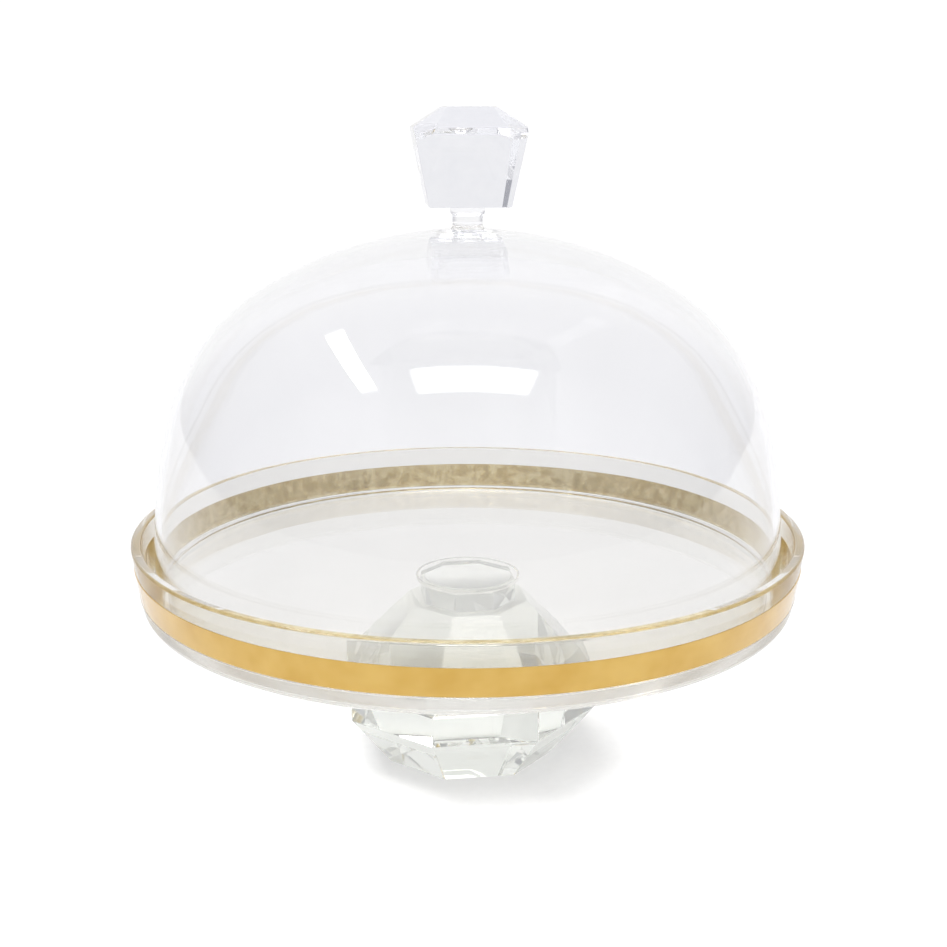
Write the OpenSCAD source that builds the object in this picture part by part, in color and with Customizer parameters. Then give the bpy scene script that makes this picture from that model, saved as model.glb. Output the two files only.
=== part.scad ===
// Footed glass cake stand with a lift-off glass dome.
// Millimetres, +Z up. The origin is on the table, on the stand's axis, under the middle of the foot.
// From the bottom up: cut crystal base, glue film, plate with a gilt band on its wall,
// then the dome that stands loose on the plate, its stem, a second glue film and the cut crystal knob.

/* [Crystal base] */
// Height of the crystal base
base_h = 76; // [70:0.5:90]
// Corner-to-corner width of the octagonal foot facet that stands on the table
foot_d = 82; // [70:1:90]
// Corner-to-corner width of the octagonal girdle, the widest part
girdle_d = 121; // [110:1:130]
// Height of the girdle's lower edge above the table
girdle_z = 24.5; // [18:0.5:28]
// Height of the upright girdle facets
girdle_h = 14; // [8:0.5:16]
// Corner-to-corner width where the upper facets end in a flat shoulder
shoulder_d = 56; // [54:1:60]
// Height of that shoulder above the table
shoulder_z = 68; // [60:0.5:69]
// Corner-to-corner width of the short octagonal neck above the shoulder
neck_d = 45; // [42:1:47]
// Turn of the base facets about the axis
base_turn = 8.1; // [0:0.1:44]

/* [Cake plate] */
// Diameter over the lip of the plate's rim
rim_d = 300; // [296:1:320]
// Height of the plate from its underside to the top of the lip
plate_h = 30.5; // [28:0.5:36]
// Thickness of the plate's floor
floor_t = 8; // [5:0.5:9]
// Thickness of the rim wall, which is also the width of its rounded lip
wall_t = 4.5; // [3.5:0.1:5]
// Outward lean of the rim wall from upright, in degrees
wall_lean = 8.7; // [6:0.1:9]
// Radius of the rounded outer corner under the plate
corner_r = 4; // [2:0.5:5]
// Radius where the floor turns up into the wall, inside the dish
dish_r = 1.5; // [1:0.1:2.5]
// Diameter of the round boss under the plate that the base is glued to
boss_d = 47.5; // [47:0.5:52]
// Height of that boss
boss_h = 2.2; // [1.5:0.1:4]

/* [Gilt band] */
// Height of the band's lower edge above the plate's underside
band_rise = 8.6; // [8.5:0.1:12]
// Width of the band, measured upright
band_w = 12; // [6:0.1:13]
// Thickness of the fired gold and its relief coat
band_t = 0.25; // [0.15:0.05:0.4]

/* [Dome] */
// Height of the dome from its foot to the crown, without the stem
dome_h = 154.3; // [150:0.1:160]
// Thickness of the dome's glass
dome_t = 3; // [2:0.1:3.5]
// Radius of the crown, the shallow top of the dome
crown_r = 170.5; // [165:0.5:175]
// Radius of the shoulder between the crown and the side
shoulder_r = 92.4; // [90:0.2:94]
// Radius of the long, nearly upright side
side_r = 252.4; // [240:0.2:260]
// Angle above level at which the crown meets the shoulder
crown_angle = 56.9; // [56:0.1:58]
// Angle above level at which the shoulder meets the side
side_angle = 14.5; // [13.5:0.1:15]
// Clear height left between the dome's foot and the plate's floor
foot_gap = 0.2; // [0.1:0.05:0.4]

/* [Stem and knob] */
// Diameter of the flat seat on top of the dome
seat_d = 19; // [17:0.5:22]
// Height of the seat above the crown
seat_h = 0.3; // [0.2:0.1:0.6]
// Height of the glass stem
stem_h = 9.5; // [7:0.1:12]
// Diameter of the stem's rounded lower collar
low_collar_d = 15.8; // [14.5:0.1:16.5]
// Height of the stem's lower collar
low_collar_h = 1.9; // [1.5:0.1:2.5]
// Diameter of the stem's waist
waist_d = 13.2; // [11:0.1:14]
// Diameter of the stem's upper collar
top_collar_d = 15; // [14.5:0.1:16.5]
// Height of the stem's upper collar
top_collar_h = 3.4; // [2.5:0.1:4]
// Height of the crystal knob
knob_h = 41.1; // [36:0.1:46]
// Width of the knob across its wide facets at the girdle
knob_w = 48; // [42:0.5:50]
// Width of the knob across its wide facets at the bottom
knob_foot_w = 35; // [28:0.2:38]
// How far each corner facet cuts into the wide facets, at the girdle
knob_corner = 3.5; // [2.5:0.1:6]
// How far each corner facet cuts in at the bottom
knob_foot_corner = 2.2; // [1.5:0.1:4]
// Width of the flat table on top of the knob
table_w = 22.5; // [18:0.5:28]
// Height of the knob's crown, from the girdle to the table
knob_crown_h = 8.3; // [6:0.1:12]
// Turn of the knob's facets about the axis
knob_turn = 5; // [0:0.5:44]

/* [Glue] */
// Thickness of each cured glue film
glue_t = 0.3; // [0.2:0.05:0.5]
// Diameter of the film between the base and the plate
base_glue_d = 40; // [34:1:41]
// Diameter of the film between the stem and the knob
knob_glue_d = 13; // [10:0.5:14]

/* [Hidden] */
$fn = 96;

crystal_colour = [0.86, 0.90, 0.90];
glass_colour = [0.90, 0.92, 0.94];
glue_colour = [0.80, 0.84, 0.86];
gilt_colour = [0.85, 0.70, 0.39];

facets = 8;
facet_step = 360 / facets;
// centre-to-flat distance of an octagon, for each unit of its corner-to-corner width
flat_ratio = cos(facet_step / 2) / 2;
// how far a grinding cut reaches past the stone
reach = 90;
fine = 8;
coarse = 4;

boss_z = base_h + glue_t;
plate_z = boss_z + boss_h;
floor_z = plate_z + floor_t;
lip_z = plate_z + plate_h;
band_z = plate_z + band_rise;

foot_z = floor_z + foot_gap;
crown_z = foot_z + dome_h;
seat_z = crown_z + seat_h;
stem_z = seat_z + stem_h;
knob_z = stem_z + glue_t;
table_z = knob_z + knob_h;
knob_girdle_z = table_z - knob_crown_h;

// points along an arc, from angle a to angle b
function arc(centre, r, a, b, steps) =
    [for (i = [0:steps]) centre + r * [cos(a + (b - a) * i / steps), sin(a + (b - a) * i / steps)]];

// rim wall: the lip is a half circle, and both faces of the wall are tangent to it
lip_r = wall_t / 2;
lip_centre = [rim_d / 2 - lip_r, lip_z - lip_r];
// radius of a face of the wall at height z, set in from the outer face by inset
function wall_r(z, inset = 0) =
    lip_centre[0] + (lip_r - inset) / cos(wall_lean) + (z - lip_centre[1]) * tan(wall_lean);

// the dome's three arcs are tangent, so their centres follow from the radii and the angles
crown_centre = [0, crown_z - crown_r];
shoulder_centre = crown_centre + (crown_r - shoulder_r) * [cos(crown_angle), sin(crown_angle)];
side_centre = shoulder_centre + (shoulder_r - side_r) * [cos(side_angle), sin(side_angle)];
edge_r = dome_t / 2;
foot_angle = asin((foot_z + edge_r - side_centre[1]) / (side_r - edge_r));
foot_centre = side_centre + (side_r - edge_r) * [cos(foot_angle), sin(foot_angle)];
// where the sloping skirt of the seat runs out on the crown
skirt_r = seat_d / 2 + 4.5;
skirt_angle = acos(skirt_r / crown_r);

// centre-to-flat distance of a knob's corner facet, from the width across its wide facets and the cut
function corner_flat(w, cut) = (w - cut) / sqrt(2);

// one flat ground on a stone: takes away everything outside the plane through two [radius, height] points
module ground_flat(low, high)
    translate([low[0], 0, low[1]])
        rotate([0, atan2(high[0] - low[0], high[1] - low[1]), 0])
            translate([0, -reach, -reach])
                cube([reach, 2 * reach, 2 * reach]);

// the same flat repeated round the stone
module ground_ring(count, turn, low, high)
    for (i = [0:count - 1])
        rotate(turn + i * 360 / count)
            ground_flat(low, high);

module octagon_prism(d, z, h)
    translate([0, 0, z])
        rotate(base_turn + facet_step / 2)
            cylinder(d = d, h = h, $fn = facets);

module crystal_base() color(crystal_colour) {
    difference() {
        octagon_prism(girdle_d, 0, shoulder_z);
        ground_ring(facets, base_turn,
                    [foot_d * flat_ratio, 0],
                    [girdle_d * flat_ratio, girdle_z]);
        ground_ring(facets, base_turn,
                    [girdle_d * flat_ratio, girdle_z + girdle_h],
                    [shoulder_d * flat_ratio, shoulder_z]);
    }
    octagon_prism(neck_d, shoulder_z - 2, base_h - shoulder_z + 2);
}

module base_glue() color(glue_colour)
    translate([0, 0, base_h])
        cylinder(d = base_glue_d, h = glue_t);

module cake_plate() color(glass_colour) {
    corner_z = plate_z + corner_r;
    corner_centre = [wall_r(corner_z, corner_r), corner_z];
    dish_z = floor_z + dish_r;
    dish_centre = [wall_r(dish_z, wall_t + dish_r), dish_z];
    boss_edge_r = boss_h / 2;
    rotate_extrude()
        polygon(concat(
            [[0, boss_z]],
            arc([boss_d / 2 - boss_edge_r, boss_z + boss_edge_r], boss_edge_r, -90, 0, coarse),
            [[boss_d / 2, plate_z]],
            arc(corner_centre, corner_r, -90, -wall_lean, fine),
            arc(lip_centre, lip_r, -wall_lean, 180 - wall_lean, 2 * fine),
            arc(dish_centre, dish_r, -wall_lean, -90, coarse),
            [[0, floor_z]]));
}

module gilt_band() color(gilt_colour) {
    band_top = band_z + band_w;
    rotate_extrude()
        polygon([[wall_r(band_z), band_z],
                 [wall_r(band_z, -band_t), band_z],
                 [wall_r(band_top, -band_t), band_top],
                 [wall_r(band_top), band_top]]);
}

module glass_dome() color(glass_colour)
    rotate_extrude()
        polygon(concat(
            [[0, seat_z], [seat_d / 2, seat_z]],
            arc(crown_centre, crown_r, skirt_angle, crown_angle, fine),
            arc(shoulder_centre, shoulder_r, crown_angle, side_angle, fine),
            arc(side_centre, side_r, side_angle, foot_angle, fine),
            arc(foot_centre, edge_r, foot_angle, foot_angle - 180, fine),
            arc(side_centre, side_r - dome_t, foot_angle, side_angle, fine),
            arc(shoulder_centre, shoulder_r - dome_t, side_angle, crown_angle, fine),
            arc(crown_centre, crown_r - dome_t, crown_angle, 90, fine)));

module dome_stem() color(glass_colour) {
    bead_r = low_collar_h / 2;
    neck_top = stem_z - top_collar_h;
    edge = 0.6;
    rotate_extrude()
        polygon(concat(
            [[0, seat_z]],
            arc([low_collar_d / 2 - bead_r, seat_z + bead_r], bead_r, -90, 90, fine),
            [[waist_d / 2, seat_z + low_collar_h], [waist_d / 2, neck_top]],
            arc([top_collar_d / 2 - edge, neck_top + edge], edge, -90, 0, coarse),
            arc([top_collar_d / 2 - edge, stem_z - edge], edge, 0, 90, coarse),
            [[0, stem_z]]));
}

module knob_glue() color(glue_colour)
    translate([0, 0, stem_z])
        cylinder(d = knob_glue_d, h = glue_t);

module crystal_knob() color(crystal_colour) {
    sides = 4;
    corner_top = corner_flat(knob_w, knob_corner);
    table_corner = corner_top * table_w / knob_w;
    // every crown facet has the same slope, so the corner facets start lower
    crown_slope = knob_crown_h / ((knob_w - table_w) / 2);
    corner_z = table_z - crown_slope * (corner_top - table_corner);
    difference() {
        translate([-knob_w, -knob_w, knob_z])
            cube([2 * knob_w, 2 * knob_w, knob_h]);
        ground_ring(sides, knob_turn, [knob_foot_w / 2, knob_z], [knob_w / 2, knob_girdle_z]);
        ground_ring(sides, knob_turn + facet_step,
                    [corner_flat(knob_foot_w, knob_foot_corner), knob_z],
                    [corner_top, knob_girdle_z]);
        ground_ring(sides, knob_turn, [knob_w / 2, knob_girdle_z], [table_w / 2, table_z]);
        ground_ring(sides, knob_turn + facet_step, [corner_top, corner_z], [table_corner, table_z]);
    }
}

crystal_base();
base_glue();
cake_plate();
gilt_band();
glass_dome();
dome_stem();
knob_glue();
crystal_knob();
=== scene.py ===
# %% [markdown]
# # A footed cake stand with a lift-off glass dome
# The real stand is eight parts. From the table up: a cut crystal base, a film of clear
# glue, a pressed glass plate with a fired gold band, then a loose blown dome with a short
# stem, a second film of glue and a cut crystal knob.
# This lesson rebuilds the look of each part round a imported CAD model. The CAD model is
# the frame: it says where every part is, and nothing here moves it.

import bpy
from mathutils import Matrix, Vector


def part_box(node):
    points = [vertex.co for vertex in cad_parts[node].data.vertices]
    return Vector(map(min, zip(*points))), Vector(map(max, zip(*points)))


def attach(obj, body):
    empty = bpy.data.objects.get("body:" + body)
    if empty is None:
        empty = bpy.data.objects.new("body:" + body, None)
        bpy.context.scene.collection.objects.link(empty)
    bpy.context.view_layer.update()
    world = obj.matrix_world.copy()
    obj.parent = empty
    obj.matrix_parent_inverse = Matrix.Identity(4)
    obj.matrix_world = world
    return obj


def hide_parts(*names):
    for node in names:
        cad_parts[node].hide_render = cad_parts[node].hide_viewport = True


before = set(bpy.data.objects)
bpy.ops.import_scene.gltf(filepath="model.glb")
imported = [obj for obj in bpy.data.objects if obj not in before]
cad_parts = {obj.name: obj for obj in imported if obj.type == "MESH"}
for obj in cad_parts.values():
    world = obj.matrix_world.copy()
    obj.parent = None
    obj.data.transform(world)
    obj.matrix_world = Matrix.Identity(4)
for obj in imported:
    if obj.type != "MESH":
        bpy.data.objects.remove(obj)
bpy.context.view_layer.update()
print("CAD nodes:", ", ".join(sorted(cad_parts)))

# %% [markdown]
# ## Measures
# A glassmaker works in millimetres and Blender in metres, so every size here is written in
# millimetres and multiplied by MM only where it goes into a mesh. The two small functions
# read heights off the CAD model, so that each piece starts and ends where its part does.

# %% Tools used all through the lesson
from math import acos, asin, atan2, cos, degrees, pi, radians, sin, sqrt, tan

import bmesh
import bpy
from mathutils import Matrix, Vector

MM = 0.001
scene = bpy.context.scene


def cad_top(node):
    """Height of a CAD part's highest point, in millimetres."""
    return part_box(node)[1].z / MM


def cad_foot(node):
    """Height of a CAD part's lowest point, in millimetres."""
    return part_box(node)[0].z / MM


for part in ("crystal_base", "cake_plate", "glass_dome", "crystal_knob"):
    print(f"{part}: from {cad_foot(part):.1f} to {cad_top(part):.1f} mm")

# %% [markdown]
# ## Turned glass
# The plate, the dome and the stem were pressed or blown in round moulds, so each is one
# outline spun about the stand's axis. Blender's Screw modifier can spin an outline too.
# Writing the rings out in code gives every ring its own finish, and that matters here:
# where two glass parts are fused or glued the light passes straight through, so the
# touching faces get a different material from the polished ones beside them.
# An outline is a list of runs. Each run is a finish and its (radius, height) points. It
# runs with the glass on its left, so that every face looks out of the glass: a renderer
# bends light the wrong way through a face that is turned round.

# %% Arcs and the lathe
ROUND_STEPS = 256
SMALL_STEPS = 96
SAME_POINT = 1e-3
SHARP_ANGLE = 28.0


def arc(centre, radius, start, end, steps):
    """Points along an arc, with its angles in degrees."""
    points = []
    for i in range(steps + 1):
        angle = radians(start + (end - start) * i / steps)
        points.append((centre[0] + radius * cos(angle), centre[1] + radius * sin(angle)))
    return points


def one_outline(runs):
    """Join the runs into one list of points, and a finish for each step between two."""
    outline, step_finish = [], []
    for finish, points in runs:
        for radius, height in points:
            if outline:
                if abs(radius - outline[-1][0]) + abs(height - outline[-1][1]) < SAME_POINT:
                    continue
                step_finish.append(finish)
            outline.append((radius, height))
    return outline, step_finish


def lathe(name, runs, finishes, steps=ROUND_STEPS, closed=False):
    """Spin runs of (radius, height) points, in millimetres, into one mesh object."""
    outline, step_finish = one_outline(runs)
    if closed:
        step_finish.append(runs[-1][0])
    order = list(finishes)
    verts, rings, faces, slots = [], [], [], []
    for radius, height in outline:
        if radius < 1e-6:
            rings.append([len(verts)] * steps)
            verts.append((0.0, 0.0, height * MM))
            continue
        rings.append(list(range(len(verts), len(verts) + steps)))
        for i in range(steps):
            angle = 2 * pi * i / steps
            verts.append((radius * MM * cos(angle), radius * MM * sin(angle), height * MM))
    pairs = list(zip(rings, rings[1:] + rings[:1])) if closed else list(zip(rings, rings[1:]))
    for (low, high), finish in zip(pairs, step_finish):
        for i in range(steps):
            j = (i + 1) % steps
            corners = dict.fromkeys((low[i], low[j], high[j], high[i]))
            if len(corners) > 2:
                faces.append(tuple(corners))
                slots.append(order.index(finish))
    mesh = bpy.data.meshes.new(name)
    mesh.from_pydata(verts, [], faces)
    for finish in order:
        mesh.materials.append(finishes[finish])
    mesh.polygons.foreach_set("material_index", slots)
    piece = bpy.data.objects.new(name, mesh)
    scene.collection.objects.link(piece)
    print(f"{name}: {len(verts)} points, {len(faces)} faces")
    return piece


def polish(piece):
    """Smooth shading, with a crisp edge wherever two faces meet at a sharp angle."""
    piece.data.shade_smooth()
    piece.data.set_sharp_from_angle(angle=radians(SHARP_ANGLE))
    return piece


def place(piece, body, slot, *nodes):
    """The piece rides on a CAD body and stands for CAD nodes; slot is not used."""
    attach(piece, body)
    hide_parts(*nodes)
    return piece


# %% [markdown]
# ## Materials
# Glass has almost no colour of its own. What the eye reads is the room, bent through it
# and mirrored in it, so each glass starts from its index of refraction, then gets the
# small faults that its making leaves: striae in poured crystal, cold ripples in pressed
# glass, long reams in blown glass.
# Every pattern is placed by a real size in millimetres.

# %% Colour and node helpers
def linear(hex_colour):
    """An sRGB hex colour as linear red, green, blue and alpha."""
    channels = []
    for i in (1, 3, 5):
        value = int(hex_colour[i:i + 2], 16) / 255
        channels.append(value / 12.92 if value <= 0.04045 else ((value + 0.055) / 1.055) ** 2.4)
    return (*channels, 1.0)


def add(tree, kind, sockets=None, **settings):
    """Add a node, set its properties, then fill each socket with a value or a link."""
    node = tree.nodes.new(kind)
    for key, value in settings.items():
        setattr(node, key, value)
    for key, value in (sockets or {}).items():
        if isinstance(value, bpy.types.NodeSocket):
            tree.links.new(value, node.inputs[key])
        else:
            node.inputs[key].default_value = value
    return node


def start_material(name):
    """An empty material, its node tree and the part's own coordinates in metres."""
    material = bpy.data.materials.new(name)
    material.use_nodes = True
    tree = material.node_tree
    tree.nodes.clear()
    return material, tree, add(tree, "ShaderNodeTexCoord").outputs["Object"]


def show(tree, shader):
    """Send the shader to the material's surface."""
    add(tree, "ShaderNodeOutputMaterial", {"Surface": shader.outputs["BSDF"]})


def per_mm(size):
    """Texture scale that makes one feature of a pattern this many millimetres wide."""
    return 1 / (size * MM)


# %% [markdown]
# ### Cut crystal
# The base and the knob are optical crystal: poured into a block, then ground and polished
# facet by facet. Its index of 1.517 throws most light back from inside at the facets,
# which gives the bright and dark flashes. The two come from different melts. The base's
# thick block has a faint cool green, the knob's a faint lavender. Striae from pouring are
# weak and about 9 mm wide, and they stop the facets from looking like flat colour.

# %% Optical crystal
def make_crystal(name, thick, thin):
    material, tree, where = start_material(name)
    striae = add(tree, "ShaderNodeTexNoise",
                 {"Vector": where, "Scale": per_mm(9), "Detail": 2.0, "Distortion": 0.6})
    tint = add(tree, "ShaderNodeValToRGB", {"Fac": striae.outputs["Fac"]})
    tint.color_ramp.elements[0].color = linear(thick)
    tint.color_ramp.elements[1].color = linear(thin)
    show(tree, add(tree, "ShaderNodeBsdfPrincipled", {
        "Base Color": tint.outputs["Color"], "Roughness": 0.0, "IOR": 1.517,
        "Transmission Weight": 1.0}))
    return material


base_crystal = make_crystal("cut_crystal_base_block", "#e9ebe6", "#f3f5f0")
knob_crystal = make_crystal("cut_crystal_knob_block", "#eaebf0", "#f5f5f8")
print("made", base_crystal.name, "and", knob_crystal.name)

# %% [markdown]
# ### Pressed plate glass
# The plate is soda-lime glass pressed in an iron mould and fire-polished after. The mould
# chills the skin, which leaves slow ripples about 35 mm across that make reflections swim
# a little, and the melt has a trace of warm grey. The foot of its wall stayed against the
# mould the longest and kept its dull skin, a bit rougher, so that what shows through it
# there is soft. It is also tinted a darker grey there, and that grey is painted shade.

# %% Plate glass
def make_plate_glass(name, thick, thin, smooth, rough):
    material, tree, where = start_material(name)
    chill = add(tree, "ShaderNodeTexNoise", {"Vector": where, "Scale": per_mm(35), "Detail": 1.0})
    ripple = add(tree, "ShaderNodeBump",
                 {"Height": chill.outputs["Fac"], "Strength": 1.0, "Distance": 0.00006})
    tint = add(tree, "ShaderNodeValToRGB", {"Fac": chill.outputs["Fac"]})
    tint.color_ramp.elements[0].color = linear(thick)
    tint.color_ramp.elements[1].color = linear(thin)
    grit = add(tree, "ShaderNodeTexNoise", {"Vector": where, "Scale": per_mm(1.2), "Detail": 2.0})
    polish_depth = add(tree, "ShaderNodeMapRange",
                       {"Value": grit.outputs["Fac"], "To Min": smooth, "To Max": rough})
    show(tree, add(tree, "ShaderNodeBsdfPrincipled", {
        "Base Color": tint.outputs["Color"], "Roughness": polish_depth.outputs["Result"],
        "IOR": 1.52, "Transmission Weight": 1.0, "Normal": ripple.outputs["Normal"]}))
    return material


plate_glass = make_plate_glass("pressed_soda_lime_glass", "#f2f1ed", "#f6f5f1", 0.0, 0.02)
# the foot of the wall: rougher glass, tinted a darker grey as painted shade
dull_shaded_plate_glass = make_plate_glass("dull_wall_painted_shade", "#dbd8d1", "#e4e1da", 0.10, 0.16)
print("made", plate_glass.name, "and", dull_shaded_plate_glass.name)

# %% [markdown]
# ### Blown dome glass
# The dome and its stem are soda-lime glass blown into a mould, with a little manganese to
# hide the iron, so thick edges look faintly lavender. Blowing stretches the melt into
# upright reams, about 45 mm apart round the dome and four times as long from foot to
# crown. They bend the highlights by a hair, which is what tells blown glass from plastic.

# %% Dome glass
def make_dome_glass():
    material, tree, where = start_material("blown_soda_lime_glass")
    stretched = add(tree, "ShaderNodeMapping", {"Vector": where, "Scale": (1.0, 1.0, 0.25)})
    reams = add(tree, "ShaderNodeTexNoise",
                {"Vector": stretched.outputs["Vector"], "Scale": per_mm(45), "Detail": 1.0})
    ripple = add(tree, "ShaderNodeBump",
                 {"Height": reams.outputs["Fac"], "Strength": 1.0, "Distance": 0.00008})
    tint = add(tree, "ShaderNodeValToRGB", {"Fac": reams.outputs["Fac"]})
    tint.color_ramp.elements[0].color = linear("#f8f8f9")
    tint.color_ramp.elements[1].color = linear("#fcfcfd")
    show(tree, add(tree, "ShaderNodeBsdfPrincipled", {
        "Base Color": tint.outputs["Color"], "Roughness": 0.0, "IOR": 1.517,
        "Transmission Weight": 1.0, "Normal": ripple.outputs["Normal"]}))
    return material


dome_glass = make_dome_glass()
print("made", dome_glass.name)

# %% [markdown]
# ### Fired gold
# The band is liquid bright gold: a gold resinate painted on over a relief coat and fired
# at about 550 C. Outside it is satin, with faint lines from the brush that was held
# against the turning plate, about 1.5 mm apart, and a thin clear flux over it that pales
# where the eye meets it at a slant. Seen through the glass from inside the dish, the same
# film is a mirror, clouded where the coat below it pooled, every 5 mm or so.

# %% Gold, outside and inside
def make_gilt_satin():
    material, tree, where = start_material("fired_gold_satin")
    along = add(tree, "ShaderNodeMapping", {"Vector": where, "Scale": (0.03, 0.03, 1.0)})
    strokes = add(tree, "ShaderNodeTexNoise",
                  {"Vector": along.outputs["Vector"], "Scale": per_mm(1.5), "Detail": 3.0})
    pooled = add(tree, "ShaderNodeTexNoise", {"Vector": where, "Scale": per_mm(14), "Detail": 2.0})
    tone = add(tree, "ShaderNodeValToRGB", {"Fac": pooled.outputs["Fac"]})
    tone.color_ramp.elements[0].position = 0.3
    tone.color_ramp.elements[0].color = linear("#d7ac4e")
    tone.color_ramp.elements[1].position = 0.7
    tone.color_ramp.elements[1].color = linear("#e2bb62")
    gloss = add(tree, "ShaderNodeMapRange",
                {"Value": strokes.outputs["Fac"], "To Min": 0.30, "To Max": 0.42})
    relief = add(tree, "ShaderNodeBump",
                 {"Height": strokes.outputs["Fac"], "Strength": 0.5, "Distance": 0.00004})
    show(tree, add(tree, "ShaderNodeBsdfPrincipled", {
        "Base Color": tone.outputs["Color"], "Metallic": 1.0,
        "Roughness": gloss.outputs["Result"], "Normal": relief.outputs["Normal"],
        "Coat Weight": 1.0, "Coat Roughness": 0.08, "Coat IOR": 1.5}))
    return material


def make_gilt_mirror():
    material, tree, where = start_material("fired_gold_mirror")
    clouds = add(tree, "ShaderNodeTexNoise",
                 {"Vector": where, "Scale": per_mm(5), "Detail": 4.0, "Roughness": 0.6})
    tone = add(tree, "ShaderNodeValToRGB", {"Fac": clouds.outputs["Fac"]})
    tone.color_ramp.elements[0].position = 0.4
    tone.color_ramp.elements[0].color = linear("#e2cc8e")
    tone.color_ramp.elements[1].position = 0.6
    tone.color_ramp.elements[1].color = linear("#fff2c8")
    gloss = add(tree, "ShaderNodeMapRange",
                {"Value": clouds.outputs["Fac"], "To Min": 0.08, "To Max": 0.24})
    show(tree, add(tree, "ShaderNodeBsdfPrincipled", {
        "Base Color": tone.outputs["Color"], "Metallic": 1.0,
        "Roughness": gloss.outputs["Result"]}))
    return material


gilt_satin = make_gilt_satin()
gilt_mirror = make_gilt_mirror()
print("made", gilt_satin.name, "and", gilt_mirror.name)

# %% [markdown]
# ### Cured glue and clear bonds
# The glue is UV-cured acrylic. Its index is so near the glass that a wetted face
# disappears: light crosses it without bending. A face that touches glue, or was fused,
# gets the clear bond, which is fully transparent and bends nothing. Only the rim of the
# glue film shows, with tiny bubbles about 0.4 mm across.

# %% Glue and bond
def make_glue():
    material, tree, where = start_material("uv_cured_acrylic")
    bubbles = add(tree, "ShaderNodeTexVoronoi", {"Vector": where, "Scale": per_mm(0.8)})
    dimple = add(tree, "ShaderNodeBump",
                 {"Height": bubbles.outputs["Distance"], "Strength": 0.3, "Distance": 0.00003})
    cloud = add(tree, "ShaderNodeMapRange",
                {"Value": bubbles.outputs["Distance"], "To Min": 0.02, "To Max": 0.10})
    show(tree, add(tree, "ShaderNodeBsdfPrincipled", {
        "Base Color": linear("#f6f8f6"), "Roughness": cloud.outputs["Result"], "IOR": 1.5,
        "Transmission Weight": 1.0, "Normal": dimple.outputs["Normal"]}))
    return material


def make_bond():
    material, tree, where = start_material("clear_bond")
    haze = add(tree, "ShaderNodeTexNoise", {"Vector": where, "Scale": per_mm(3)})
    tint = add(tree, "ShaderNodeValToRGB", {"Fac": haze.outputs["Fac"]})
    tint.color_ramp.elements[0].color = linear("#fcfdfc")
    tint.color_ramp.elements[1].color = linear("#ffffff")
    show(tree, add(tree, "ShaderNodeBsdfPrincipled", {
        "Base Color": tint.outputs["Color"], "Roughness": 0.0, "Alpha": 0.0}))
    return material


glue = make_glue()
bond = make_bond()
print("made", glue.name, "and", bond.name)

# %% [markdown]
# ## The plate
# A pressed glass dish, 300 mm over the lip, with a leaning wall, a flat floor 8 mm thick
# and a low round boss below for the base. The outline starts at the axis under the boss
# and runs out, up the wall, over the lip and back along the floor. A fine bead under the
# band makes the bright thread that shows there, and the lip has a narrow flat between two
# rounded edges, which gives it two thin lines instead of one thick one.
# Two short runs are bonds: under the boss where the glue is, and behind the gold band.
# The plate casts no shadow. Real light comes through clear glass and brightens the table
# again, but a renderer only finds that light by chance, so its shadow would be too dark.

# %% Plate sizes, in millimetres
RIM_R = 149.9
WALL_T = 4.5
WALL_LEAN = 8.7
CORNER_R = 4.0
DISH_R = 1.5
FLOOR_T = 8.0
BOSS_R = 23.75
BOSS_H = 2.2
BAND_T = 0.25
LIP_EDGE_R = 1.2
BEAD_R = 0.4
BASE_GLUE_R = 20.0

boss_z = cad_foot("cake_plate")
plate_z = boss_z + BOSS_H
floor_z = plate_z + FLOOR_T
lip_z = cad_top("cake_plate")
lip_r = WALL_T / 2
lip_centre = (RIM_R - lip_r, lip_z - lip_r)
band_low = cad_foot("gilt_band")
band_high = cad_top("gilt_band")


def wall_r(height, inset=0.0):
    """Radius of a face of the leaning wall, set in from the outer face by inset."""
    lean = radians(WALL_LEAN)
    return lip_centre[0] + (lip_r - inset) / cos(lean) + (height - lip_centre[1]) * tan(lean)


print(f"dish floor at {floor_z:.1f} mm, lip at {lip_z:.1f} mm")
print(f"gold band from {band_low:.1f} to {band_high:.1f} mm")

# %% [markdown]
# Pressed glass has no sharp corners, because the melt draws itself round before it sets.
# Every corner of the outline is therefore an arc that leaves one face and joins the next
# without a kink, and a round edge gathers the light into the line that the eye follows.

# %% Spin the plate
corner_z = plate_z + CORNER_R
corner_centre = (wall_r(corner_z, CORNER_R), corner_z)
dish_z = floor_z + DISH_R
dish_centre = (wall_r(dish_z, WALL_T + DISH_R), dish_z)
boss_edge = BOSS_H / 2
lip_corner_z = lip_z - LIP_EDGE_R
lip_in_r = wall_r(lip_z - 1, WALL_T) + LIP_EDGE_R
bead_z = band_low - BEAD_R
under = arc((BOSS_R - boss_edge, boss_z + boss_edge), boss_edge, -90, 0, 8)
cake_plate = lathe("pressed_plate", [
    ("bond", [(0, boss_z), (BASE_GLUE_R, boss_z)]),
    ("glass", under + [(BOSS_R, plate_z)]),
    ("glass", arc(corner_centre, CORNER_R, -90, -WALL_LEAN, 12)),
    # the foot of the wall takes the rougher glass with its painted grey shade
    ("dull", [(wall_r(bead_z - BEAD_R), bead_z - BEAD_R)]),
    ("glass", arc((wall_r(bead_z), bead_z), BEAD_R, -80, 80, 10) + [(wall_r(band_low), band_low)]),
    ("bond", [(wall_r(band_high), band_high)]),
    ("glass", arc((RIM_R - LIP_EDGE_R, lip_corner_z), LIP_EDGE_R, -WALL_LEAN, 85, 14)),
    ("glass", arc((lip_in_r, lip_corner_z), LIP_EDGE_R, 95, 180 - WALL_LEAN, 14)),
    ("glass", arc(dish_centre, DISH_R, -WALL_LEAN, -90, 8)),
    ("glass", [(120, floor_z), (60, floor_z), (0, floor_z)]),
], {"glass": plate_glass, "dull": dull_shaded_plate_glass, "bond": bond})
cake_plate.visible_shadow = False
place(polish(cake_plate), "stand", "plate_glass", "cake_plate")

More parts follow.
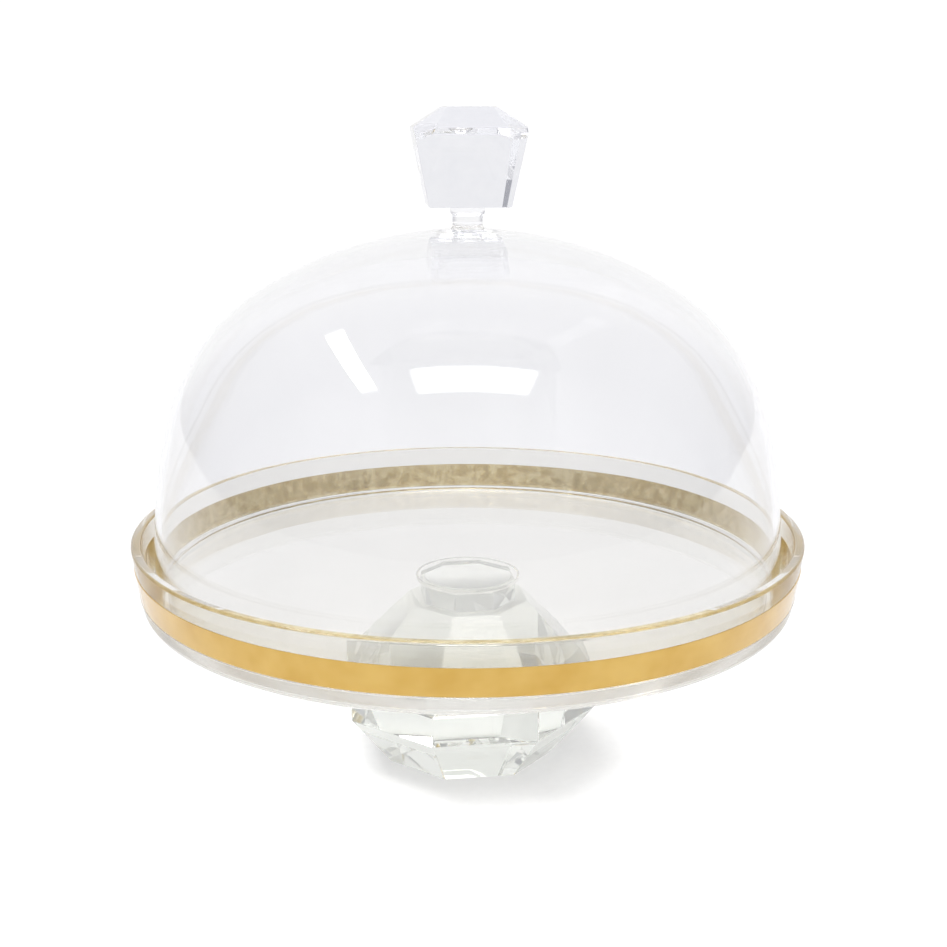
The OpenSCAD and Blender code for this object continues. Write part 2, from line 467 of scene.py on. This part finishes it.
# %% [markdown]
# ## The gold band
# A ring of fired gold a quarter of a millimetre thick, once its relief coat is counted.
# It is a closed strip: the mirror side lies on the glass, 0.01 mm off so that the two
# surfaces don't fight, and the satin side faces out. The edges of the film are rounded,
# as paint draws back from its rim when it is fired.

# %% Spin the band
FILM_GAP = 0.01
FILM_STEP = 0.02
FILM_SIDE = 0.17
FILM_EDGE = 0.12
band_runs = [
    ("satin", [(wall_r(band_low, -FILM_STEP), band_low),
               (wall_r(band_low, -FILM_SIDE), band_low + FILM_STEP),
               (wall_r(band_low + FILM_EDGE, -BAND_T), band_low + FILM_EDGE),
               (wall_r(band_high - FILM_EDGE, -BAND_T), band_high - FILM_EDGE),
               (wall_r(band_high, -FILM_SIDE), band_high - FILM_STEP),
               (wall_r(band_high, -FILM_STEP), band_high)]),
    ("mirror", [(wall_r(band_high, -FILM_GAP), band_high),
                (wall_r(band_low, -FILM_GAP), band_low)]),
]
gilt_band = lathe("fired_gold_band", band_runs, {"satin": gilt_satin, "mirror": gilt_mirror},
                  closed=True)
place(polish(gilt_band), "stand", "gilt", "gilt_band")

# %% [markdown]
# ## The dome
# Three arcs that run into each other: a shallow crown, a tight shoulder and a long side
# that curls in again above the foot. The inside is the same arcs, 3 mm smaller. The foot
# is rounded by fire. On top a small seat was pressed while the glass was soft, and that
# left slow rings on the crown round it. They are modelled as real waves, because glass
# shows a tenth of a millimetre: each ring squeezes what lies behind it into a thin line.

# %% Dome sizes, in millimetres
DOME_T = 3.0
CROWN_R = 170.5
SHOULDER_R = 92.4
SIDE_R = 252.4
CROWN_ANGLE = 56.9
SIDE_ANGLE = 14.5
SEAT_R = 9.5
SEAT_H = 0.3

seat_z = cad_top("glass_dome")
crown_z = seat_z - SEAT_H
foot_z = cad_foot("glass_dome")
crown_centre = Vector((0.0, crown_z - CROWN_R))
shoulder_centre = crown_centre + (CROWN_R - SHOULDER_R) * Vector(
    (cos(radians(CROWN_ANGLE)), sin(radians(CROWN_ANGLE))))
side_centre = shoulder_centre + (SHOULDER_R - SIDE_R) * Vector(
    (cos(radians(SIDE_ANGLE)), sin(radians(SIDE_ANGLE))))
edge_r = DOME_T / 2
foot_angle = degrees(asin((foot_z + edge_r - side_centre.y) / (SIDE_R - edge_r)))
foot_centre = side_centre + (SIDE_R - edge_r) * Vector(
    (cos(radians(foot_angle)), sin(radians(foot_angle))))
print(f"dome from {foot_z:.1f} to {seat_z:.1f} mm, foot angle {foot_angle:.1f} degrees")

# %% [markdown]
# The seat is a flat disc with a skirt that eases down to the crown. The rings start at the
# skirt's foot and die away outwards. Inside the dome they are weaker, since the tool
# pressed on the outside.

# %% The rings round the seat
SKIRT_R = 14.0
RING_LENGTH = 5.6
RING_HEIGHT = 0.12
RING_END = 30.0
RING_STEPS = 44
INNER_RING_START = 2.0
INNER_RING_SHARE = 0.4


def crown_height(radius, inset=0.0):
    """Height of the crown's surface at a radius, or of its inner face, inset lower."""
    return crown_centre.y + sqrt((CROWN_R - inset) ** 2 - radius ** 2)


def ringed_crown(start, inset=0.0, height=RING_HEIGHT):
    """Points out along the crown from start to RING_END, waved by rings that die away."""
    points = []
    for i in range(RING_STEPS + 1):
        radius = start + (RING_END - start) * i / RING_STEPS
        fade = max(0.0, 1 - (radius - start) / (RING_END - start)) ** 2
        wave = height * fade * sin(2 * pi * (radius - start) / RING_LENGTH)
        points.append((radius, crown_height(radius, inset) - wave))
    return points


SKIRT_STEPS = 12
skirt_drop = crown_height(SKIRT_R) - seat_z
skirt = []
for i in range(SKIRT_STEPS + 1):
    t = i / SKIRT_STEPS
    ease = t * t * (3 - 2 * t)
    skirt.append((SEAT_R + (SKIRT_R - SEAT_R) * t, seat_z + skirt_drop * ease))
print(f"{len(skirt)} points down the skirt of the seat")

# %% [markdown]
# The outline goes down the outside, round the rolled foot and back up the inside. Like the
# plate, the dome casts no shadow.

# %% Spin the dome
STEM_FOOT_R = 7.4
ring_angle = degrees(acos(RING_END / CROWN_R))
inner_ring_angle = degrees(acos(RING_END / (CROWN_R - DOME_T)))
outside = [(STEM_FOOT_R, seat_z)] + skirt + ringed_crown(SKIRT_R)
outside += arc(crown_centre, CROWN_R, ring_angle, CROWN_ANGLE, 20)
outside += arc(shoulder_centre, SHOULDER_R, CROWN_ANGLE, SIDE_ANGLE, 40)
outside += arc(side_centre, SIDE_R, SIDE_ANGLE, foot_angle, 40)
inside = arc(side_centre, SIDE_R - DOME_T, foot_angle, SIDE_ANGLE, 40)
inside += arc(shoulder_centre, SHOULDER_R - DOME_T, SIDE_ANGLE, CROWN_ANGLE, 40)
inside += arc(crown_centre, CROWN_R - DOME_T, CROWN_ANGLE, inner_ring_angle, 20)
inside += reversed(ringed_crown(INNER_RING_START, DOME_T, RING_HEIGHT * INNER_RING_SHARE))
rolled_foot = arc(foot_centre, edge_r, foot_angle, foot_angle - 180, 20)
dome_outline = [
    ("bond", [(0, seat_z), (STEM_FOOT_R, seat_z)]),
    ("glass", outside),
    ("glass", rolled_foot),
    ("glass", inside + [(0, crown_z - DOME_T)]),
]
# this outline runs with the glass on its right, so it is turned round for the lathe
dome_runs = [(finish, list(reversed(points))) for finish, points in reversed(dome_outline)]
glass_dome = lathe("blown_dome", dome_runs, {"glass": dome_glass, "bond": bond})
glass_dome.visible_shadow = False
place(polish(glass_dome), "cover", "dome_glass", "glass_dome")

# %% [markdown]
# ## The stem
# A short solid glass stem was fused on while hot: a foot that flares as soft glass does, a
# waist and a thicker collar that the knob is glued to. Its foot is a bond to the dome and
# its top a bond to the glue, so the light runs through all three as in the real one.

# %% Spin the stem
FLARE_H = 1.9
FLARE_STEPS = 8
WAIST_R = 6.6
TOP_COLLAR_R = 7.5
TOP_COLLAR_H = 3.4
COLLAR_EDGE = 0.6
KNOB_GLUE_R = 6.5

stem_z = cad_top("dome_stem")
neck_top = stem_z - TOP_COLLAR_H
flare = []
for i in range(FLARE_STEPS + 1):
    t = i / FLARE_STEPS
    narrowing = (STEM_FOOT_R - WAIST_R) * (1 - (1 - t) ** 2)
    flare.append((STEM_FOOT_R - narrowing, seat_z + FLARE_H * t))
collar = arc((TOP_COLLAR_R - COLLAR_EDGE, neck_top + COLLAR_EDGE), COLLAR_EDGE, -80, 0, 8)
collar += arc((TOP_COLLAR_R - COLLAR_EDGE, stem_z - COLLAR_EDGE), COLLAR_EDGE, 0, 90, 8)
waist = [(WAIST_R, neck_top - 0.5), (WAIST_R + 0.2, neck_top)]
dome_stem = lathe("fused_stem", [
    ("bond", [(0, seat_z), (STEM_FOOT_R, seat_z)]),
    ("glass", flare + waist + collar),
    ("glass", [(KNOB_GLUE_R, stem_z)]),
    ("bond", [(0, stem_z)]),
], {"glass": dome_glass, "bond": bond}, steps=SMALL_STEPS)
place(polish(dome_stem), "cover", "dome_glass", "dome_stem")

# %% [markdown]
# ## The glue films
# Two discs of cured glue 0.3 mm thick. Their flat faces are bonds, because glue wets the
# glass, so only the bulging rims show, as the thin bright rings round each joint.

# %% Spin the glue
def glue_film(name, node, radius, body):
    """A disc of cured glue that fills its CAD node."""
    low, high = cad_foot(node), cad_top(node)
    bulge = (high - low) / 2
    film = lathe(name, [
        ("bond", [(0, low), (radius - bulge, low)]),
        ("glue", arc((radius - bulge, low + bulge), bulge, -90, 90, 8)),
        ("bond", [(0, high)]),
    ], {"glue": glue, "bond": bond}, steps=SMALL_STEPS)
    return place(polish(film), body, "glue", node)


glue_film("base_glue_film", "base_glue", BASE_GLUE_R, "stand")
glue_film("knob_glue_film", "knob_glue", KNOB_GLUE_R, "cover")

# %% [markdown]
# ## Cut stones
# The base and the knob are stones: flat facets that meet in crisp arrises. A facet has to
# be truly flat, or the view inside it bends, so these are not smoothed. The cutter
# takes the sharpness off each arris with one light touch, a chamfer of about a quarter of
# a millimetre, and that is the bright thread along every edge.
# A glued face has a round window of bond in it, as wide as the glue.

# %% Arrises and glue windows
def ground_arrises(mesh_data, width):
    """Chamfer every edge of the stone where two facets meet at an outward angle."""
    edges = [e for e in mesh_data.edges if e.calc_face_angle_signed(0.0) > radians(8)]
    bmesh.ops.bevel(mesh_data, geom=edges, offset=width * MM, offset_type="OFFSET",
                    segments=1, profile=0.5, affect="EDGES", clamp_overlap=True)


def glue_window(mesh_data, height, radius, steps=SMALL_STEPS):
    """Cut a round window into the flat facet at this height and give it the bond finish."""
    flat = [f for f in mesh_data.faces
            if all(abs(v.co.z / MM - height) < 1e-3 for v in f.verts)]
    facet = max(flat, key=lambda f: f.calc_area())
    normal = facet.normal.copy()
    rim = list(facet.edges)
    bmesh.ops.delete(mesh_data, geom=[facet], context="FACES_ONLY")
    ring = [mesh_data.verts.new((radius * MM * cos(2 * pi * i / steps),
                                 radius * MM * sin(2 * pi * i / steps), height * MM))
            for i in range(steps)]
    circle = [mesh_data.edges.new((ring[i], ring[(i + 1) % steps])) for i in range(steps)]
    bmesh.ops.triangle_fill(mesh_data, edges=rim + circle, normal=normal, use_beauty=True)
    inner = [f for f in mesh_data.faces if all(v in ring for v in f.verts)]
    if inner:
        bmesh.ops.delete(mesh_data, geom=inner, context="FACES_ONLY")
    window = mesh_data.faces.new(ring if normal.z > 0 else list(reversed(ring)))
    window.material_index = 1
    mesh_data.normal_update()


def finish_stone(name, mesh_data, crystal, arris, windows):
    """Chamfer the stone, cut its glue windows and make it an object of flat facets."""
    bmesh.ops.recalc_face_normals(mesh_data, faces=mesh_data.faces[:])
    ground_arrises(mesh_data, arris)
    for height, radius in windows:
        glue_window(mesh_data, height, radius)
    mesh = bpy.data.meshes.new(name)
    mesh_data.to_mesh(mesh)
    mesh_data.free()
    mesh.materials.append(crystal)
    mesh.materials.append(bond)
    piece = bpy.data.objects.new(name, mesh)
    scene.collection.objects.link(piece)
    print(f"{name}: {len(mesh.polygons)} facets and chamfers")
    return piece


# %% [markdown]
# ## The crystal base
# Eight facets all the way up: they flare from the foot to the girdle, stand upright, then
# slope in to a flat shoulder with a short neck on it. A stack of octagon rings makes it.
# Each radius is to a corner. The stone is turned a little, as it was when it was glued.

# %% Cut the base
OCTAGON = 8
BASE_TURN = 8.1
FOOT_R = 41.0
GIRDLE_R = 60.5
GIRDLE_LOW = 24.5
GIRDLE_HIGH = 38.5
BASE_SHOULDER_R = 28.0
BASE_SHOULDER_Z = 68.0
NECK_R = 22.5
BASE_ARRIS = 0.3

base_rings = [(FOOT_R, 0.0), (GIRDLE_R, GIRDLE_LOW), (GIRDLE_R, GIRDLE_HIGH),
              (BASE_SHOULDER_R, BASE_SHOULDER_Z), (NECK_R, BASE_SHOULDER_Z),
              (NECK_R, cad_top("crystal_base"))]


def stacked_octagons(rings, turn):
    """A closed solid through octagons of (corner radius, height), from the bottom up."""
    mesh_data = bmesh.new()
    levels = []
    for radius, height in rings:
        level = []
        for i in range(OCTAGON):
            angle = radians(turn + 22.5 + 45 * i)
            level.append(mesh_data.verts.new(
                (radius * MM * cos(angle), radius * MM * sin(angle), height * MM)))
        levels.append(level)
    for low, high in zip(levels, levels[1:]):
        for i in range(OCTAGON):
            j = (i + 1) % OCTAGON
            mesh_data.faces.new((low[i], low[j], high[j], high[i]))
    mesh_data.faces.new(list(reversed(levels[0])))
    mesh_data.faces.new(levels[-1])
    mesh_data.normal_update()
    return mesh_data


crystal_base = finish_stone("cut_base", stacked_octagons(base_rings, BASE_TURN),
                            base_crystal, BASE_ARRIS, [(cad_top("crystal_base"), BASE_GLUE_R)])
place(crystal_base, "stand", "crystal", "crystal_base")

# %% [markdown]
# ## The crystal knob
# A cutter starts from a block and grinds one flat after another. The code does the same:
# each cut is a plane that takes away all outside it and closes the wound with a new facet.
# Four wide sides and four narrow corners flare up to the girdle, and above it a crown of
# eight facets slopes in to the flat table. These radii are to a side's middle.

# %% Cut the knob
KNOB_TURN = 5.0
KNOB_R = 24.0
KNOB_FOOT_R = 17.5
TABLE_R = 11.25
KNOB_CROWN_H = 8.3
CORNER_CUT_TOP = 3.5
CORNER_CUT_FOOT = 2.2
KNOB_ARRIS = 0.22
BLOCK_WIDTH = 80.0
SAME_CORNER = 0.001


def corner_flat(width, cut):
    """Centre-to-flat distance of a corner facet, from the knob's width and the cut."""
    return (width - cut) / sqrt(2)


knob_z = cad_foot("crystal_knob")
table_z = cad_top("crystal_knob")
girdle_z = table_z - KNOB_CROWN_H
corner_top = corner_flat(2 * KNOB_R, CORNER_CUT_TOP)
table_corner = corner_top * TABLE_R / KNOB_R
corner_girdle_z = table_z - KNOB_CROWN_H / (KNOB_R - TABLE_R) * (corner_top - table_corner)
knob_cuts = [
    (0, (KNOB_FOOT_R, knob_z), (KNOB_R, girdle_z)),
    (45, (corner_flat(2 * KNOB_FOOT_R, CORNER_CUT_FOOT), knob_z), (corner_top, girdle_z)),
    (0, (KNOB_R, girdle_z), (TABLE_R, table_z)),
    (45, (corner_top, corner_girdle_z), (table_corner, table_z)),
]


def grind(mesh_data, turn, low, high):
    """Grind one flat through two (radius, height) points, at an angle round the stone."""
    around = Vector((cos(radians(turn)), sin(radians(turn)), 0.0))
    slope = atan2(high[0] - low[0], high[1] - low[1])
    normal = around * cos(slope) - Vector((0.0, 0.0, sin(slope)))
    point = around * low[0] * MM + Vector((0.0, 0.0, low[1] * MM))
    everything = mesh_data.verts[:] + mesh_data.edges[:] + mesh_data.faces[:]
    cut = bmesh.ops.bisect_plane(mesh_data, geom=everything, plane_co=point, plane_no=normal,
                                 clear_outer=True)
    wound = [e for e in cut["geom_cut"] if isinstance(e, bmesh.types.BMEdge)]
    if wound:
        bmesh.ops.contextual_create(mesh_data, geom=wound)


block = bmesh.new()
block_centre = Matrix.Translation((0, 0, (knob_z + table_z) / 2 * MM))
block_size = Matrix.Diagonal((BLOCK_WIDTH * MM, BLOCK_WIDTH * MM, (table_z - knob_z) * MM, 1))
bmesh.ops.create_cube(block, size=1.0, matrix=block_centre @ block_size)
for step, low, high in knob_cuts:
    for quarter in range(4):
        grind(block, KNOB_TURN + step + 90 * quarter, low, high)
bmesh.ops.remove_doubles(block, verts=block.verts[:], dist=SAME_CORNER * MM)
crystal_knob = finish_stone("cut_knob", block, knob_crystal, KNOB_ARRIS, [(knob_z, KNOB_GLUE_R)])
place(crystal_knob, "cover", "crystal", "crystal_knob")

# %% [markdown]
# ## The studio
# Clear glass on white is lit by its surroundings: a white sweep behind and below shines
# through it, and dark flags at the sides and overhead draw its edges. The floor is a matt
# white sheet that glows a little, as paper lit from all sides does.
# A studio backdrop is exposed until it is pure white, but the same white seen through
# glass is a shade darker. The two whites are set apart by seen_as: it gives one strength
# to rays straight from the lens and another to rays that came through the glass.

# %% Floor
FLOOR_HALF = 7.0
FLOOR_GAP = 0.2


def seen_as(tree, by_lens, by_glass):
    """A value that is one thing straight to the lens and another by way of the glass."""
    ray = add(tree, "ShaderNodeLightPath")
    return add(tree, "ShaderNodeMapRange", {
        "Value": ray.outputs["Is Camera Ray"], "To Min": by_glass, "To Max": by_lens,
    }).outputs["Result"]


def make_floor():
    material, tree, where = start_material("matt_white_sheet")
    grain = add(tree, "ShaderNodeTexNoise", {"Vector": where, "Scale": per_mm(4), "Detail": 3.0})
    tone = add(tree, "ShaderNodeValToRGB", {"Fac": grain.outputs["Fac"]})
    tone.color_ramp.elements[0].color = linear("#b8b8b8")
    tone.color_ramp.elements[1].color = linear("#c0c0c0")
    show(tree, add(tree, "ShaderNodeBsdfPrincipled", {
        "Base Color": tone.outputs["Color"], "Roughness": 1.0, "Specular IOR Level": 0.0,
        "Emission Color": linear("#ffffff"), "Emission Strength": seen_as(tree, 0.42, 0.33)}))
    return material


sheet = bpy.data.meshes.new("studio_floor")
sheet.from_pydata([(-FLOOR_HALF, -FLOOR_HALF, 0), (FLOOR_HALF, -FLOOR_HALF, 0),
                   (FLOOR_HALF, FLOOR_HALF, 0), (-FLOOR_HALF, FLOOR_HALF, 0)], [], [(0, 1, 2, 3)])
sheet.materials.append(make_floor())
floor = bpy.data.objects.new("studio_floor", sheet)
floor.location.z = -FLOOR_GAP * MM
scene.collection.objects.link(floor)
print("floor:", 2 * FLOOR_HALF, "m square")

# %% [markdown]
# ### The sweep and the flags
# The world's sky stands for both. It is white round a point a little above the horizon
# behind the stand, grey at the sides and overhead, and pale again behind the camera. The
# colour depends only on how far a ray points away from the middle of the sweep.

# %% Sky
SWEEP_RISE = 15.0
sky = bpy.data.worlds.new("studio_sky")
sky.use_nodes = True
sky_tree = sky.node_tree
sky_tree.nodes.clear()
direction = add(sky_tree, "ShaderNodeTexCoord").outputs["Generated"]
sweep_centre = (0.0, cos(radians(SWEEP_RISE)), sin(radians(SWEEP_RISE)))
facing = add(sky_tree, "ShaderNodeVectorMath", {0: direction, 1: sweep_centre},
             operation="DOT_PRODUCT").outputs["Value"]
away = add(sky_tree, "ShaderNodeMapRange",
           {"Value": facing, "From Min": 1.0, "From Max": -1.0}).outputs["Result"]
shade = add(sky_tree, "ShaderNodeValToRGB", {"Fac": seen_as(sky_tree, 0.0, away)})
shade.color_ramp.elements[0].position = 0.0
shade.color_ramp.elements[0].color = linear("#ffffff")
shade.color_ramp.elements[1].position = 1.0
shade.color_ramp.elements[1].color = linear("#eaeaec")
for position, colour in ((0.08, "#ffffff"), (0.2, "#d2d2d6"), (0.42, "#a9aab1"),
                         (0.7, "#dcdcdf")):
    shade.color_ramp.elements.new(position).color = linear(colour)
glow = add(sky_tree, "ShaderNodeBackground", {
    "Color": shade.outputs["Color"], "Strength": seen_as(sky_tree, 1.03, 0.97)})
add(sky_tree, "ShaderNodeOutputWorld", {"Surface": glow.outputs["Background"]})
scene.world = sky
print("sky:", sky.name)


# %% [markdown]
# ### Lamps
# A wide softbox hangs in front and a long narrow one on the left, and both show as bright
# shapes on the dome. A softbox is brighter in the middle than at the seams of its cloth,
# so the light fades over the last few hundredths of its width. A soft sun lights only the
# sheet and puts the small shadow beside the foot.

# %% Lights
CLOTH_FADE = 0.07
SUN_STRENGTH = 2.5
SUN_SPREAD = 34.0
SUN_LEAN = (-10.0, -20.0)


def softbox(name, centre, size, watts):
    """A rectangle of light that faces straight down, fading softly at its cloth's edges."""
    lamp = bpy.data.lights.new(name, "AREA")
    lamp.shape = "RECTANGLE"
    lamp.size = size[0]
    lamp.size_y = size[1]
    lamp.energy = watts
    lamp.use_nodes = True
    tree = lamp.node_tree
    tree.nodes.clear()
    across = add(tree, "ShaderNodeNewGeometry").outputs["Parametric"]
    back = add(tree, "ShaderNodeVectorMath", {0: (1.0, 1.0, 1.0), 1: across},
               operation="SUBTRACT")
    inward = add(tree, "ShaderNodeVectorMath", {0: across, 1: back.outputs["Vector"]},
                 operation="MULTIPLY")
    sides = add(tree, "ShaderNodeSeparateXYZ", {"Vector": inward.outputs["Vector"]})
    fades = []
    for axis in ("X", "Y"):
        fades.append(add(tree, "ShaderNodeMapRange",
                         {"Value": sides.outputs[axis], "From Max": CLOTH_FADE},
                         interpolation_type="SMOOTHSTEP").outputs["Result"])
    fade = add(tree, "ShaderNodeMath", {0: fades[0], 1: fades[1]}, operation="MULTIPLY")
    cloth = add(tree, "ShaderNodeEmission", {"Strength": fade.outputs["Value"]})
    add(tree, "ShaderNodeOutputLight", {"Surface": cloth.outputs["Emission"]})
    box = bpy.data.objects.new(name, lamp)
    box.location = centre
    box.visible_diffuse = False
    scene.collection.objects.link(box)
    return box


softbox("front_softbox", (0.05, -0.55, 1.5), (0.94, 0.38), 8.0)
softbox("left_strip", (-0.81, -0.05, 1.5), (0.18, 1.1), 4.5)
sun = bpy.data.lights.new("sheet_sun", "SUN")
sun.energy = SUN_STRENGTH
sun.angle = radians(SUN_SPREAD)
sheet_sun = bpy.data.objects.new("sheet_sun", sun)
sheet_sun.rotation_euler = (radians(SUN_LEAN[0]), radians(SUN_LEAN[1]), 0)
sheet_sun.visible_glossy = False
sheet_sun.visible_transmission = False
scene.collection.objects.link(sheet_sun)

# %% [markdown]
# ## Camera and light paths
# The camera stands 60 cm in front of the stand's axis, as high as the knob, and looks down
# 14.6 degrees into the dish through a slightly long lens.
# Inside cut glass a ray can be thrown from facet to facet dozens of times. A renderer
# counts each of those as a bounce and paints the ray black when it reaches its limit, so
# the limits here are high. Caustics stay on, because the light inside the plate and the
# base is all of that kind, and a denoiser cleans what is left.

# %% Camera
CAMERA_DISTANCE = 0.604
CAMERA_HEIGHT = 0.289
LOOK_DOWN = 14.6
LENS_MM = 52.42
SENSOR_MM = 36.0
LENS_SHIFT = 0.0062
lens = bpy.data.cameras.new("studio_camera")
lens.sensor_width = SENSOR_MM
lens.lens = LENS_MM
lens.shift_x = LENS_SHIFT
camera = bpy.data.objects.new("studio_camera", lens)
camera.matrix_world = (Matrix.Translation((0, -CAMERA_DISTANCE, CAMERA_HEIGHT))
                       @ Matrix.Rotation(radians(90 - LOOK_DOWN), 4, "X"))
scene.collection.objects.link(camera)
scene.camera = camera
print("camera at", tuple(round(v, 3) for v in camera.location))

# %% Light paths
BOUNCES = 96
scene.cycles.max_bounces = BOUNCES
scene.cycles.transmission_bounces = BOUNCES
scene.cycles.glossy_bounces = BOUNCES
scene.cycles.transparent_max_bounces = 16
scene.cycles.caustics_reflective = True
scene.cycles.caustics_refractive = True
scene.cycles.blur_glossy = 0.2
scene.cycles.sample_clamp_indirect = 6.0
scene.cycles.use_denoising = True
scene.view_settings.view_transform = "Standard"
print("bounces:", scene.cycles.max_bounces)
